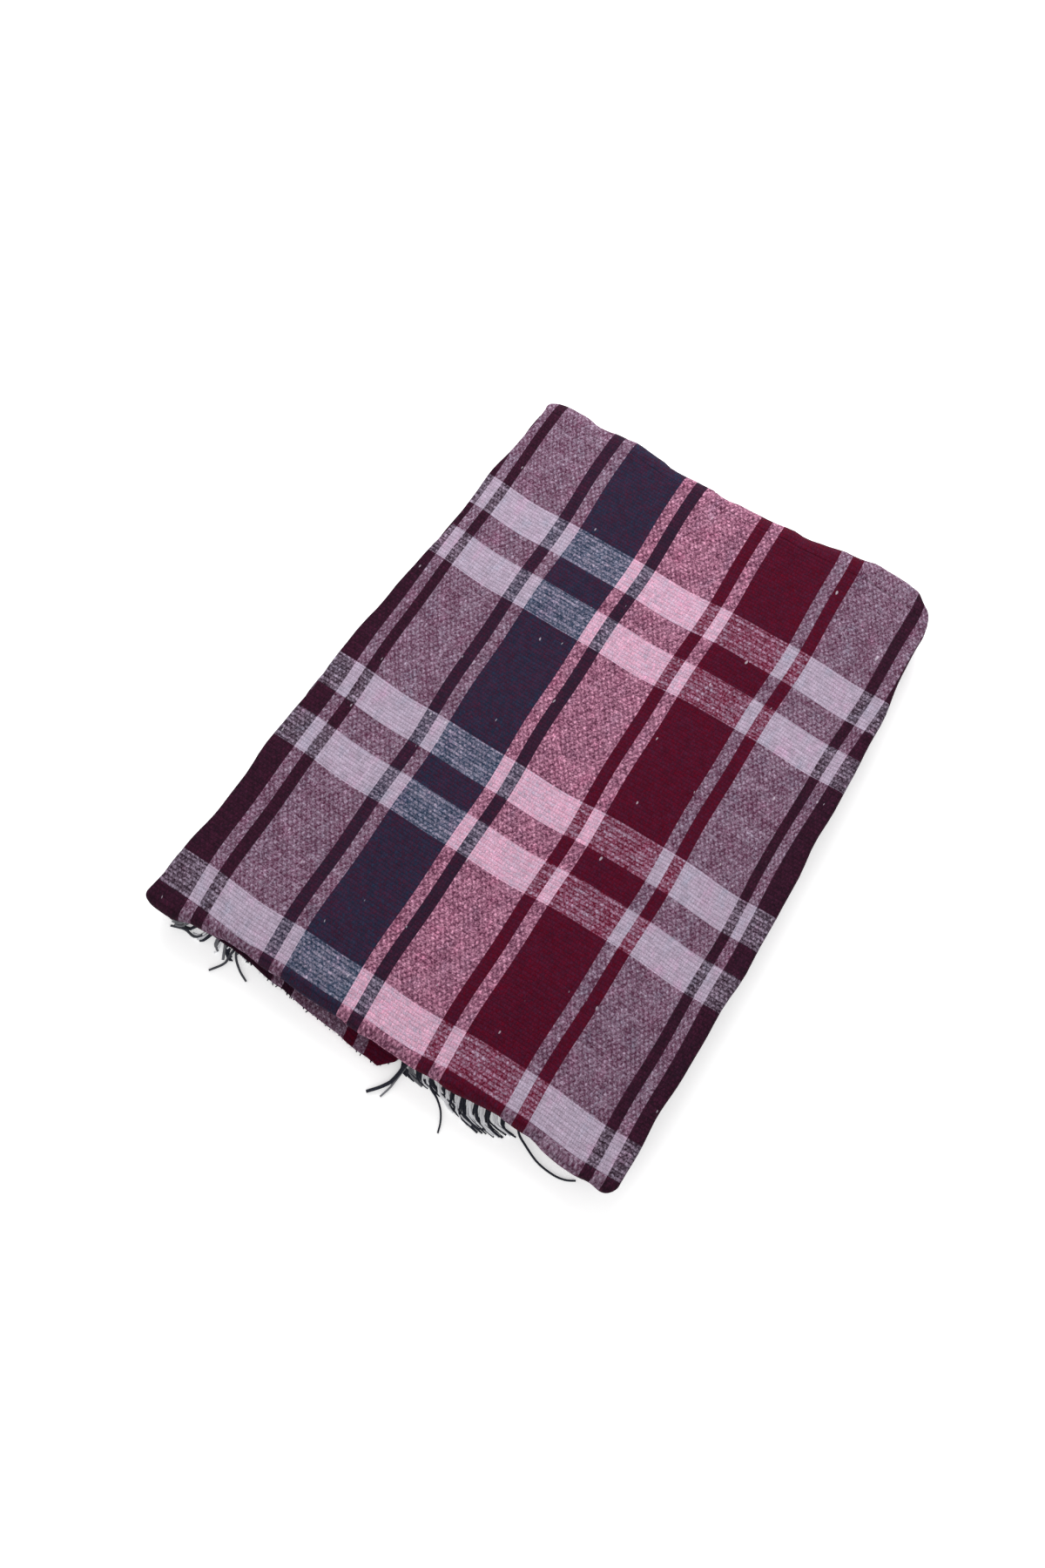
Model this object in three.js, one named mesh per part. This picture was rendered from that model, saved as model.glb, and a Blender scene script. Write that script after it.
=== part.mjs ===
// Folded throw blanket, in millimetres, +Z up.
// +X runs across the package, +Y from its near edge to its far edge. The origin is the middle of the footprint.
//
// One woven cloth is folded twice across its width, which makes a strip of four panels, and then twice in its
// length, which makes four leaves of that strip. Each stretch between two folds is its own mesh, and so is each
// fold. Leaf 1 is the lowest. Leaves 1 and 2 end in fringe at the near edge, and leaves 3 and 4 join in the near
// fold.
import * as THREE from "three";

// Driving sizes
const CLOTH_WIDTH = 1270; // across the warp, selvedge to selvedge
const CLOTH_LENGTH = 1599; // along the warp, without the fringe
const CLOTH_THICKNESS = 1.5;
const LAYER_GAP = 0.3; // air between two layers that lie on each other
const FRINGE_LENGTH = 26;
const FRINGE_THINNER = 0.4; // how much thinner than the cloth a row of loose ends is
const FRINGE_SETBACK = 12; // how far the fringed ends stop short of where the near fold starts to bend
const CUT_GAP = 0.3; // between two meshes that are cut from the same cloth
const ARC_STEPS = 10; // straight steps in each half turn of the cloth

// What follows from them
const LEAVES = 4;
const PANELS = 4;
const FRINGE_THICKNESS = CLOTH_THICKNESS - FRINGE_THINNER;
const LAYER_PITCH = CLOTH_THICKNESS + LAYER_GAP;
const STRIP_PITCH = PANELS * LAYER_PITCH;
const INNER_TURN = LAYER_PITCH / 2; // radius of a side fold with nothing inside it
const OUTER_TURN = INNER_TURN + LAYER_PITCH; // radius of the side fold that wraps two layers
const SINGLE_BEND = STRIP_PITCH / 2; // radius of a bend of the strip with nothing inside it
const WRAP_BEND = SINGLE_BEND + STRIP_PITCH; // radius of the bend that wraps two leaves
const SIDE_TURNS = Math.PI * (OUTER_TURN + 2 * INNER_TURN);
const STRIP_BENDS = Math.PI * (WRAP_BEND + 2 * SINGLE_BEND);
const PANEL_WIDTH = (CLOTH_WIDTH - SIDE_TURNS) / PANELS;
const LEAF_LENGTH = (CLOTH_LENGTH + 2 * FRINGE_SETBACK - STRIP_BENDS) / LEAVES;

// The far bends turn about x = any, y = 0, z = FOLD_HEIGHT, and the leaves run from there towards -Y.
const LOWEST_LAYER = CLOTH_THICKNESS / 2;
const leafHeight = (leaf) => LOWEST_LAYER + OUTER_TURN + (leaf - 1) * STRIP_PITCH;
const FOLD_HEIGHT = (leafHeight(2) + leafHeight(3)) / 2;
const NEAR_END = -LEAF_LENGTH;
const FRINGED_END = NEAR_END + FRINGE_SETBACK;

// Footprint, which the origin is centred on
const LEFT_SIDE = -INNER_TURN - CLOTH_THICKNESS / 2;
const RIGHT_SIDE = PANEL_WIDTH + OUTER_TURN + CLOTH_THICKNESS / 2;
const FAR_SIDE = WRAP_BEND + OUTER_TURN + CLOTH_THICKNESS / 2;
const NEAR_SIDE = Math.min(
  FRINGED_END - FRINGE_LENGTH,
  NEAR_END - SINGLE_BEND - OUTER_TURN - CLOTH_THICKNESS / 2,
);

// A stretch of a path: at(t) gives a point and a normal in the path's own plane, for t from 0 to 1.
function line(start, end, normal) {
  return {
    length: Math.hypot(end[0] - start[0], end[1] - start[1]),
    steps: 1,
    at: (t) => ({
      point: [start[0] + (end[0] - start[0]) * t, start[1] + (end[1] - start[1]) * t],
      normal,
    }),
  };
}

// side is 1 where the normal points away from the arc's centre, and -1 where it points to it.
function arc(centre, radius, fromDegrees, toDegrees, side) {
  const from = THREE.MathUtils.degToRad(fromDegrees);
  const sweep = THREE.MathUtils.degToRad(toDegrees) - from;
  return {
    length: radius * Math.abs(sweep),
    steps: ARC_STEPS,
    at: (t) => {
      const c = Math.cos(from + sweep * t);
      const s = Math.sin(from + sweep * t);
      return {
        point: [centre[0] + radius * c, centre[1] + radius * s],
        normal: [side * c, side * s],
      };
    },
  };
}

// Across the strip: x, and the height of the cloth's middle above the strip's middle
const across = {
  panel_1: line([0, -OUTER_TURN], [PANEL_WIDTH, -OUTER_TURN], [0, -1]),
  outer_right_fold: arc([PANEL_WIDTH, 0], OUTER_TURN, -90, 90, 1),
  panel_2: line([PANEL_WIDTH, OUTER_TURN], [0, OUTER_TURN], [0, 1]),
  left_fold: arc([0, LAYER_PITCH], INNER_TURN, 90, 270, 1),
  panel_3: line([0, INNER_TURN], [PANEL_WIDTH, INNER_TURN], [0, -1]),
  inner_right_fold: arc([PANEL_WIDTH, 0], INNER_TURN, 90, -90, -1),
  panel_4: line([PANEL_WIDTH, -INNER_TURN], [0, -INNER_TURN], [0, 1]),
};

// Along the strip: y and z of the strip's middle. The normal is the side that panel 2 lies on.
const along = {
  leaf_1: line([FRINGED_END, leafHeight(1)], [0, leafHeight(1)], [0, -1]),
  leaf_2: line([FRINGED_END, leafHeight(2)], [0, leafHeight(2)], [0, 1]),
  leaf_3: line([NEAR_END, leafHeight(3)], [0, leafHeight(3)], [0, -1]),
  leaf_4: line([NEAR_END, leafHeight(4)], [0, leafHeight(4)], [0, 1]),
  near_fold: arc([NEAR_END, (leafHeight(3) + leafHeight(4)) / 2], SINGLE_BEND, 90, 270, 1),
  far_fold_outer: arc([0, FOLD_HEIGHT], WRAP_BEND, -90, 90, 1),
  far_fold_inner: arc([0, FOLD_HEIGHT], SINGLE_BEND, 90, -90, -1),
};

// Points along one stretch, which stops half a cut gap short of both its ends
function stations(stretch) {
  const inset = CUT_GAP / 2 / stretch.length;
  return Array.from({ length: stretch.steps + 1 }, (_, i) =>
    stretch.at(inset + ((1 - 2 * inset) * i) / stretch.steps),
  );
}

// The same along several stretches that follow each other in one piece
function joinedStations(stretches) {
  const first = stretches[0];
  const last = stretches[stretches.length - 1];
  return stretches.flatMap((stretch) => {
    const start = stretch === first ? CUT_GAP / 2 / stretch.length : 0;
    const end = stretch === last ? 1 - CUT_GAP / 2 / stretch.length : 1;
    const kept = stretch === last ? stretch.steps + 1 : stretch.steps;
    return Array.from({ length: kept }, (_, i) => stretch.at(start + ((end - start) * i) / stretch.steps));
  });
}

// The point of the cloth at one station across and one along, at a distance off the cloth's middle
function clothPoint(cross, run, offset) {
  const x = cross.point[0] + offset * cross.normal[0];
  const height = cross.point[1] + offset * cross.normal[1];
  return new THREE.Vector3(x, run.point[0] + height * run.normal[0], run.point[1] + height * run.normal[1]);
}

// A closed solid of the cloth between the first and last stations, thickness thick
function clothSolid(crossStations, runStations, thickness) {
  const rows = runStations.length;
  const columns = crossStations.length;
  const points = [];
  for (const offset of [thickness / 2, -thickness / 2]) {
    for (const cross of crossStations) {
      for (const run of runStations) points.push(clothPoint(cross, run, offset));
    }
  }
  const index = (side, column, row) => (side * columns + column) * rows + row;
  const triangles = [];
  const quad = (a, b, c, d) => triangles.push([a, b, c], [a, c, d]);
  for (let i = 0; i + 1 < columns; i++) {
    for (let j = 0; j + 1 < rows; j++) {
      quad(index(0, i, j), index(0, i + 1, j), index(0, i + 1, j + 1), index(0, i, j + 1));
      quad(index(1, i, j + 1), index(1, i + 1, j + 1), index(1, i + 1, j), index(1, i, j));
    }
    quad(index(1, i, 0), index(1, i + 1, 0), index(0, i + 1, 0), index(0, i, 0));
    quad(index(0, i, rows - 1), index(0, i + 1, rows - 1), index(1, i + 1, rows - 1), index(1, i, rows - 1));
  }
  for (let j = 0; j + 1 < rows; j++) {
    quad(index(0, 0, j), index(0, 0, j + 1), index(1, 0, j + 1), index(1, 0, j));
    const last = columns - 1;
    quad(index(1, last, j), index(1, last, j + 1), index(0, last, j + 1), index(0, last, j));
  }
  return outwardGeometry(points, triangles);
}

// Six times the signed volume that a triangle encloses with the origin
function enclosed(points, [a, b, c]) {
  return points[a].dot(new THREE.Vector3().crossVectors(points[b], points[c]));
}

// The triangles are turned round where the cloth's own normal made the solid inside out.
function outwardGeometry(points, triangles) {
  const volume = triangles.reduce((sum, triangle) => sum + enclosed(points, triangle), 0);
  const faces = volume < 0 ? triangles.map(([a, b, c]) => [a, c, b]) : triangles;
  const geometry = new THREE.BufferGeometry().setFromPoints(points);
  geometry.setIndex(faces.flat());
  geometry.computeVertexNormals();
  return geometry;
}

const material = (color) => new THREE.MeshStandardMaterial({ color, roughness: 0.95, metalness: 0 });

const blanket = new THREE.Group();
blanket.position.set(-(LEFT_SIDE + RIGHT_SIDE) / 2, -(NEAR_SIDE + FAR_SIDE) / 2, 0);

function addMesh(name, geometry, color) {
  const mesh = new THREE.Mesh(geometry, material(color));
  mesh.name = name;
  blanket.add(mesh);
}

const PANEL_COLOURS = { panel_1: 0x7d5a6c, panel_2: 0x9a7488, panel_3: 0x4a3a52, panel_4: 0x5c2438 };
const FOLD_COLOUR = 0x3a1c2c;
const BEND_COLOUR = 0x5c2438;
const FRINGE_COLOUR = 0x4b5160;

// Flat panels and side folds of each leaf
for (const leaf of ["leaf_1", "leaf_2", "leaf_3", "leaf_4"]) {
  for (const [piece, stretch] of Object.entries(across)) {
    const solid = clothSolid(stations(stretch), stations(along[leaf]), CLOTH_THICKNESS);
    addMesh(`${leaf}_${piece}`, solid, PANEL_COLOURS[piece] ?? FOLD_COLOUR);
  }
}

// Bends of the whole strip, each with its four panels and three side folds in one piece
const wholeStrip = joinedStations(Object.values(across));
for (const bend of ["near_fold", "far_fold_outer", "far_fold_inner"]) {
  addMesh(bend, clothSolid(wholeStrip, stations(along[bend]), CLOTH_THICKNESS), BEND_COLOUR);
}

// Warp ends left long at the two fringed ends, one row for each panel
for (const leaf of ["leaf_1", "leaf_2"]) {
  const { point, normal } = along[leaf].at(0);
  const fringe = line([point[0] - FRINGE_LENGTH, point[1]], point, normal);
  for (const panel of Object.keys(PANEL_COLOURS)) {
    const ends = [fringe.at(0), fringe.at(1 - CUT_GAP / 2 / FRINGE_LENGTH)];
    const solid = clothSolid(stations(across[panel]), ends, FRINGE_THICKNESS);
    addMesh(`${leaf}_${panel}_fringe`, solid, FRINGE_COLOUR);
  }
}

const part = new THREE.Group();
part.add(blanket);

export default part;
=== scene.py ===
import math

import bpy
import numpy as np
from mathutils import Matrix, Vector


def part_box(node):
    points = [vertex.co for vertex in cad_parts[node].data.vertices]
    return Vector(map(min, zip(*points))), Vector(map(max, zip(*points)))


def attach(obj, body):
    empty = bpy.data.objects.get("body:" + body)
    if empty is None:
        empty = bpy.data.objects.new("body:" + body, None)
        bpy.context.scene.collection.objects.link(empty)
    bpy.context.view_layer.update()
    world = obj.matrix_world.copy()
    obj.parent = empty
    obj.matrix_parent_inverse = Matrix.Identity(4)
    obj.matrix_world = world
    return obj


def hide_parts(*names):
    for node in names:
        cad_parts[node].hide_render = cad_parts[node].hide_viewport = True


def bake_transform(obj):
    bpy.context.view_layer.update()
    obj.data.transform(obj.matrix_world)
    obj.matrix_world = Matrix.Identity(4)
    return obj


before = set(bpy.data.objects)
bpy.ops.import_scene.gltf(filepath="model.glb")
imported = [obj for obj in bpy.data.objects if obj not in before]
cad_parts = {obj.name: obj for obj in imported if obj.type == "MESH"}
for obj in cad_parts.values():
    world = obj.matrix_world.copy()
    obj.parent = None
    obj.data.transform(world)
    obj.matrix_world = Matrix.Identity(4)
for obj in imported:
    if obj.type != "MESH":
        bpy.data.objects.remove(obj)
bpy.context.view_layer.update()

# ---------------------------------------------------------------- sizes, in metres

MM = 0.001
REPEAT = 55.6 * MM  # one warp stripe repeat: a wide stripe and the two narrow ones before it
END_PITCH = REPEAT / 31.6  # from one warp end to the next
PICK_PITCH = REPEAT / 23  # from one weft pick to the next
NARROW = 0.14  # each narrow stripe, as a share of the repeat
FIRST_REPEAT_X = -141.8 * MM  # where the lilac repeat starts on the top face

TOP_LOW, TOP_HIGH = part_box("leaf_4_panel_2")
UNDER_LOW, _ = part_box("leaf_4_panel_3")
FOLD_LOW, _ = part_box("leaf_4_outer_right_fold")
FRINGED_LOW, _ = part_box("leaf_1_panel_2")

THICKNESS = TOP_HIGH.z - TOP_LOW.z
LAYER_PITCH = TOP_LOW.z - UNDER_LOW.z
STRIP_PITCH = 4 * LAYER_PITCH
INNER_TURN = LAYER_PITCH / 2
OUTER_TURN = INNER_TURN + LAYER_PITCH
SINGLE_BEND = STRIP_PITCH / 2
WRAP_BEND = SINGLE_BEND + STRIP_PITCH
HALF_CUT = (FOLD_LOW.x - TOP_HIGH.x) / 2

LEFT_X = TOP_LOW.x - HALF_CUT
RIGHT_X = TOP_HIGH.x + HALF_CUT
NEAR_Y = TOP_LOW.y - HALF_CUT
FAR_Y = TOP_HIGH.y + HALF_CUT
FRINGED_Y = FRINGED_LOW.y - HALF_CUT
TOP_LEAF_Z = (TOP_LOW.z + TOP_HIGH.z) / 2 - OUTER_TURN
LEAF_Z = {leaf: TOP_LEAF_Z - (4 - leaf) * STRIP_PITCH for leaf in (1, 2, 3, 4)}
FOLD_Z = (LEAF_Z[2] + LEAF_Z[3]) / 2
HEIGHT = TOP_HIGH.z
NEAR_FRONT = NEAR_Y - SINGLE_BEND - OUTER_TURN - THICKNESS / 2
FAR_BACK = FAR_Y + WRAP_BEND + OUTER_TURN + THICKNESS / 2
LEFT_SIDE = LEFT_X - INNER_TURN - THICKNESS / 2
RIGHT_SIDE = RIGHT_X + OUTER_TURN + THICKNESS / 2

PANEL_STEPS = 72
LEAF_STEPS = 70
SIDE_TURN_STEPS = 10
BEND_STEPS = 16

# ---------------------------------------------------------------- camera

CAMERA_AZIMUTH = 32.1
CAMERA_ELEVATION = 76.0
CAMERA_DISTANCE = 0.709
CAMERA_AIM = Vector((-11.1 * MM, NEAR_FRONT + 173.5 * MM, HEIGHT))
LENS = 27.0
FILM = 36.0


def make_camera():
    data = bpy.data.cameras.new("camera")
    data.lens = LENS
    data.sensor_width = FILM
    camera = bpy.data.objects.new("camera", data)
    bpy.context.scene.collection.objects.link(camera)
    azimuth = math.radians(CAMERA_AZIMUTH)
    elevation = math.radians(CAMERA_ELEVATION)
    forward = Vector((
        -math.sin(azimuth) * math.cos(elevation),
        math.cos(azimuth) * math.cos(elevation),
        -math.sin(elevation),
    ))
    camera.location = CAMERA_AIM - forward * CAMERA_DISTANCE
    camera.rotation_mode = "QUATERNION"
    camera.rotation_quaternion = forward.to_track_quat("-Z", "Y")
    bpy.context.scene.camera = camera


make_camera()

# ---------------------------------------------------------------- the cloth's two paths

END_CROWDING = 0.7  # stations crowd towards both ends of a stretch by this share


def spread(steps):
    """Shares from 0 to 1, closer together towards both ends."""
    t = np.linspace(0, 1, steps + 1)
    return t - END_CROWDING * np.sin(2 * np.pi * t) / (2 * np.pi)


def straight(name, start, end, normal, steps):
    t = spread(steps)[:, None]
    points = np.array(start) * (1 - t) + np.array(end) * t
    return {"name": name, "points": points, "normals": np.tile(normal, (steps + 1, 1))}


def turn(name, centre, radius, start, end, side, steps):
    """An arc between two angles in degrees. side is 1 where the normal points away from the centre."""
    angle = np.radians(start + (end - start) * spread(steps))
    ray = np.stack([np.cos(angle), np.sin(angle)], 1)
    return {"name": name, "points": np.array(centre) + radius * ray, "normals": side * ray}


def join(stretches):
    """One path out of stretches that follow each other, with the length run at each station."""
    points = [stretches[0]["points"][:1]]
    normals = [stretches[0]["normals"][:1]]
    ranges = {}
    count = 1
    for stretch in stretches:
        points.append(stretch["points"][1:])
        normals.append(stretch["normals"][1:])
        ranges[stretch["name"]] = (count - 1, count + len(stretch["points"]) - 2)
        count += len(stretch["points"]) - 1
    points = np.concatenate(points)
    normals = np.concatenate(normals)
    steps = np.linalg.norm(np.diff(points, axis=0), axis=1)
    run = np.concatenate([[0], np.cumsum(steps)])
    return {"points": points, "normals": normals, "ranges": ranges, "run": run}


# Across the strip of four panels: x, and the height above the strip's middle
ACROSS = join([
    straight("panel_1", (LEFT_X, -OUTER_TURN), (RIGHT_X, -OUTER_TURN), (0, -1), PANEL_STEPS),
    turn("outer_right_fold", (RIGHT_X, 0), OUTER_TURN, -90, 90, 1, SIDE_TURN_STEPS),
    straight("panel_2", (RIGHT_X, OUTER_TURN), (LEFT_X, OUTER_TURN), (0, 1), PANEL_STEPS),
    turn("left_fold", (LEFT_X, LAYER_PITCH), INNER_TURN, 90, 270, 1, SIDE_TURN_STEPS),
    straight("panel_3", (LEFT_X, INNER_TURN), (RIGHT_X, INNER_TURN), (0, -1), PANEL_STEPS),
    turn("inner_right_fold", (RIGHT_X, 0), INNER_TURN, 90, -90, -1, SIDE_TURN_STEPS),
    straight("panel_4", (RIGHT_X, -INNER_TURN), (LEFT_X, -INNER_TURN), (0, 1), PANEL_STEPS),
])

# Along the strip: y and z of the strip's middle, and the side that panel 2 lies on
ALONG = join([
    straight("leaf_1", (FRINGED_Y, LEAF_Z[1]), (FAR_Y, LEAF_Z[1]), (0, -1), LEAF_STEPS),
    turn("far_fold_outer", (FAR_Y, FOLD_Z), WRAP_BEND, -90, 90, 1, BEND_STEPS),
    straight("leaf_4", (FAR_Y, LEAF_Z[4]), (NEAR_Y, LEAF_Z[4]), (0, 1), LEAF_STEPS),
    turn("near_fold", (NEAR_Y, (LEAF_Z[3] + LEAF_Z[4]) / 2), SINGLE_BEND, 90, 270, 1, BEND_STEPS),
    straight("leaf_3", (NEAR_Y, LEAF_Z[3]), (FAR_Y, LEAF_Z[3]), (0, -1), LEAF_STEPS),
    turn("far_fold_inner", (FAR_Y, FOLD_Z), SINGLE_BEND, 90, -90, -1, BEND_STEPS),
    straight("leaf_2", (FAR_Y, LEAF_Z[2]), (FRINGED_Y, LEAF_Z[2]), (0, 1), LEAF_STEPS),
])


def ideal_cloth():
    """The cloth's middle surface as evenly folded: a grid of points, columns across and rows along."""
    x = ACROSS["points"][:, 0][:, None]
    height = ACROSS["points"][:, 1][:, None]
    y = ALONG["points"][:, 0] + height * ALONG["normals"][:, 0]
    z = ALONG["points"][:, 1] + height * ALONG["normals"][:, 1]
    return np.stack([np.broadcast_to(x, y.shape), y, z], -1)


# ---------------------------------------------------------------- how the folded cloth has settled

def smooth(t):
    t = np.clip(t, 0, 1)
    return t * t * (3 - 2 * t)


def through(points, t):
    """A smooth curve through (share, millimetres) points, in metres."""
    at, value = np.array(points, float).T
    slope = np.gradient(value, at)
    k = np.clip(np.searchsorted(at, t) - 1, 0, len(at) - 2)
    span = at[k + 1] - at[k]
    f = np.clip((t - at[k]) / span, 0, 1)
    start = (1 + 2 * f) * (1 - f) ** 2 * value[k] + f * (1 - f) ** 2 * span * slope[k]
    end = f * f * (3 - 2 * f) * value[k + 1] - f * f * (1 - f) * span * slope[k + 1]
    return (start + end) * MM


def wave(t, *parts):
    """A sum of sines: each part is a wavelength and a height in millimetres, and a phase."""
    return sum(h * MM * np.sin(2 * np.pi * t / (length * MM) + phase) for length, h, phase in parts)


# Outline of the package against the ideal rectangle: the share of the way from near to far or from left to
# right, and millimetres, + to the right and + to the far side
LEFT_EDGE = [
    (0, -6.5), (0.04, -4), (0.08, -3.2), (0.13, 0), (0.3, 3.8), (0.48, 7.5), (0.56, 11.5), (0.64, 15.5),
    (0.82, 21), (0.91, 25), (1, 26.5),
]
RIGHT_EDGE = [
    (0, -1.5), (0.2, -2.5), (0.37, 0.2), (0.52, -2.4), (0.64, -2.5), (0.73, -4), (0.82, -6.5), (0.92, -8),
    (1, -7),
]
NEAR_EDGE = [
    (0, -4.5), (0.03, -5), (0.07, -4.8), (0.11, -1.5), (0.15, 0.4), (0.3, 0), (0.55, -1), (0.65, -0.5),
    (0.8, 2.5), (0.9, -1.5), (1, -1.2),
]
FAR_EDGE = [
    (0, -2.2), (0.06, -1), (0.11, -3), (0.15, -2.5), (0.19, -1.5), (0.23, -0.5), (0.27, -1.5), (0.31, -4.2),
    (0.35, -4), (0.4, -3.6), (0.45, -4), (0.52, -3.4), (0.6, -1.5), (0.7, 0.5), (0.78, 4.5), (0.87, 7),
    (1, 5.5),
]
# Corners: which side, which end, radius, and how far the top sinks there, in millimetres
CORNERS = [(-1, -1, 8, 1.5), (1, -1, 9, 1.5), (-1, 1, 12, 2), (1, 1, 30, 4)]
SINK_REACH = 2.4  # radii from a corner within which the top sinks
# How far each leaf's folded sides lie from the top leaf's, + to the right, in the order that the cloth runs
RIGHT_OFFSETS = {"leaf_1": -3.5, "leaf_4": 0, "leaf_3": -1.2, "leaf_2": -5}
LEFT_OFFSETS = {"leaf_1": -5, "leaf_4": 0, "leaf_3": -2, "leaf_2": 2.5}
SELVEDGE_INSET = 5 * MM  # how far the selvedges stop short of the left fold
INNER_SLACK = 0.9 * MM  # how far the inner right fold stays inside the outer one, at least
FOLLOW = 0.88  # how much of the top's outline the bottom follows
INNER_FOLD_DRAWN_IN = 1.2 * MM  # the far fold between leaves 2 and 3 is straight, just inside the outer one
BULGE_START = 3 * MM  # how far before the outer far fold its own bulge starts
BULGE_REACH = 10 * MM  # how soon that bulge is full
BULGE_LOW, BULGE_RISE = 0.2, 0.5  # the share of the height where it starts, and how far on it is full
EDGE_REACH = 55 * MM  # a fold's own unevenness fades out over this distance
HOLLOW = 1.6 * MM  # how far the middle of the top lies below its edges

# Unevenness as sums of waves: wavelength and height in millimetres, and phase
RIGHT_WAVES = [(118, 0.7, 0.4), (61, 0.45, 2.1), (37, 0.25, 1.0)]
LEFT_WAVES = [(127, 0.8, 1.3), (71, 0.5, 0.2), (33, 0.25, 2.9)]
SLACK_WAVES = [(83, 0.8, 0.3), (47, 0.5, 1.7)]
SELVEDGE_WAVES = [(210, 1.8, 0.7), (90, 1.0, 2.2)]
END_RIPPLES = [(34, 0.45, 0.5), (21, 0.3, 2.0), (13, 0.12, 1.0)]
SWELL_ACROSS = [(173, 0.5, 0.8), (97, 0.3, 2.3)]
SWELL_ALONG = [(141, 0.45, 1.9), (83, 0.3, 0.1)]
SKEW_ACROSS, SKEW_ALONG = 0.4, -0.3  # how far each of the swells runs aslant


def offsets_along(offsets):
    """Each leaf's offset along the whole path, passing smoothly from one to the next within the bends."""
    result = np.zeros(len(ALONG["run"]))
    order = ["leaf_1", "leaf_4", "leaf_3", "leaf_2"]
    for name in order:
        first, last = ALONG["ranges"][name]
        result[first:last + 1] = offsets[name]
    for before, bend, after in zip(order, ["far_fold_outer", "near_fold", "far_fold_inner"], order[1:]):
        first, last = ALONG["ranges"][bend]
        t = smooth(np.linspace(0, 1, last - first + 1))
        result[first:last + 1] = offsets[before] * (1 - t) + offsets[after] * t
    return result * MM


def column_share(names):
    """1 on the columns of these stretches across, and 0 on the others."""
    share = np.zeros(len(ACROSS["run"]))
    for name in names:
        first, last = ACROSS["ranges"][name]
        share[first:last + 1] = 1
    return share[:, None]


def row_share(names):
    """1 on the rows of these stretches along, and 0 on the others."""
    share = np.zeros(len(ALONG["run"]))
    for name in names:
        first, last = ALONG["ranges"][name]
        share[first + 1:last + 1] = 1
    return share[None, :]


def side_shift(x, run):
    """How far the folds at both sides lie from even, each leaf on its own, + to the right."""
    to_right = smooth(1 - (RIGHT_SIDE - x) / EDGE_REACH)
    to_left = smooth(1 - (x - LEFT_SIDE) / EDGE_REACH)
    outer = column_share(["panel_1", "outer_right_fold", "panel_2"])
    folded = column_share(["panel_2", "left_fold", "panel_3"])
    right = offsets_along(RIGHT_OFFSETS) + wave(run, *RIGHT_WAVES)
    slack = INNER_SLACK + np.abs(wave(run, *SLACK_WAVES))
    left = offsets_along(LEFT_OFFSETS) + wave(run, *LEFT_WAVES)
    inset = SELVEDGE_INSET + wave(run, *SELVEDGE_WAVES)
    return to_right * (right - (1 - outer) * slack) + to_left * (left + (1 - folded) * inset)


def end_shift(x, y, lift, place, outside):
    """How far the near and far ends lie from even, + to the far side."""
    near = smooth(1 - (y - NEAR_FRONT) / EDGE_REACH)
    far = smooth(1 - (FAR_BACK - y) / EDGE_REACH)
    ripple = wave(x, *END_RIPPLES)
    back = through(FAR_EDGE, place) + ripple
    high = smooth((lift - BULGE_LOW) / BULGE_RISE)
    bulge = outside * smooth((y - FAR_Y + BULGE_START) / BULGE_REACH) * high
    drawn_in = far * (1 - outside) * INNER_FOLD_DRAWN_IN
    shift = far * np.minimum(back, 0) + bulge * np.maximum(back, 0) - drawn_in
    return shift + near * (through(NEAR_EDGE, place) + ripple)


def corner_shift(x, y, upper, outside):
    """What rounds the corners in plan and sinks their tops, as x, y and z."""
    dx = np.zeros_like(x)
    dy = np.zeros_like(x)
    dz = np.zeros_like(x)
    for side, end, radius, sink in CORNERS:
        from_side = RIGHT_SIDE - x if side > 0 else x - LEFT_SIDE
        from_end = FAR_BACK - y if end > 0 else y - NEAR_FRONT
        p = np.clip(1 - from_side / (radius * MM), 0, 1)
        q = np.clip(1 - from_end / (radius * MM), 0, 1)
        dx = dx - side * radius * MM * p * (1 - np.sqrt(1 - q * q / 2))
        inward = radius * MM * q * (1 - np.sqrt(1 - p * p / 2))
        dy = dy - end * inward * (outside if end > 0 else 1)
        wide = SINK_REACH * radius * MM
        dz = dz - sink * MM * upper * smooth(1 - from_side / wide) * smooth(1 - from_end / wide)
    return dx, dy, dz


def top_shift(x, y, along, place):
    """A soft, uneven height: fuller over the bends and lower in the middle."""
    hollow = HOLLOW * np.sin(np.pi * along) * np.sin(np.pi * place)
    swell = wave(x + SKEW_ACROSS * y, *SWELL_ACROSS) + wave(y + SKEW_ALONG * x, *SWELL_ALONG)
    return swell - hollow


def settle(points):
    """The cloth as it really lies: the outline, uneven folds, soft corners and a gently uneven top."""
    x, y, z = (points[..., i].copy() for i in range(3))
    across = (x - LEFT_X) / (RIGHT_X - LEFT_X)
    along = np.clip((y - NEAR_FRONT) / (FAR_BACK - NEAR_FRONT), 0, 1)
    place = np.clip(across, 0, 1)
    lift = z / HEIGHT
    upper = np.clip((z - FOLD_Z) / (HEIGHT - FOLD_Z), 0, 1)
    outside = 1 - row_share(["leaf_3", "far_fold_inner", "leaf_2"])

    follow = FOLLOW + (1 - FOLLOW) * lift
    outline = through(LEFT_EDGE, along) * (1 - across) + through(RIGHT_EDGE, along) * across
    corner_x, corner_y, corner_z = corner_shift(x, y, upper, outside)
    dx = side_shift(x, ALONG["run"][None, :]) + follow * outline + corner_x
    dy = end_shift(x, y, lift, place, outside) + corner_y
    dz = corner_z + upper * top_shift(x, y, along, place)
    return np.stack([x + dx, y + dy, z + dz], -1)


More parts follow.
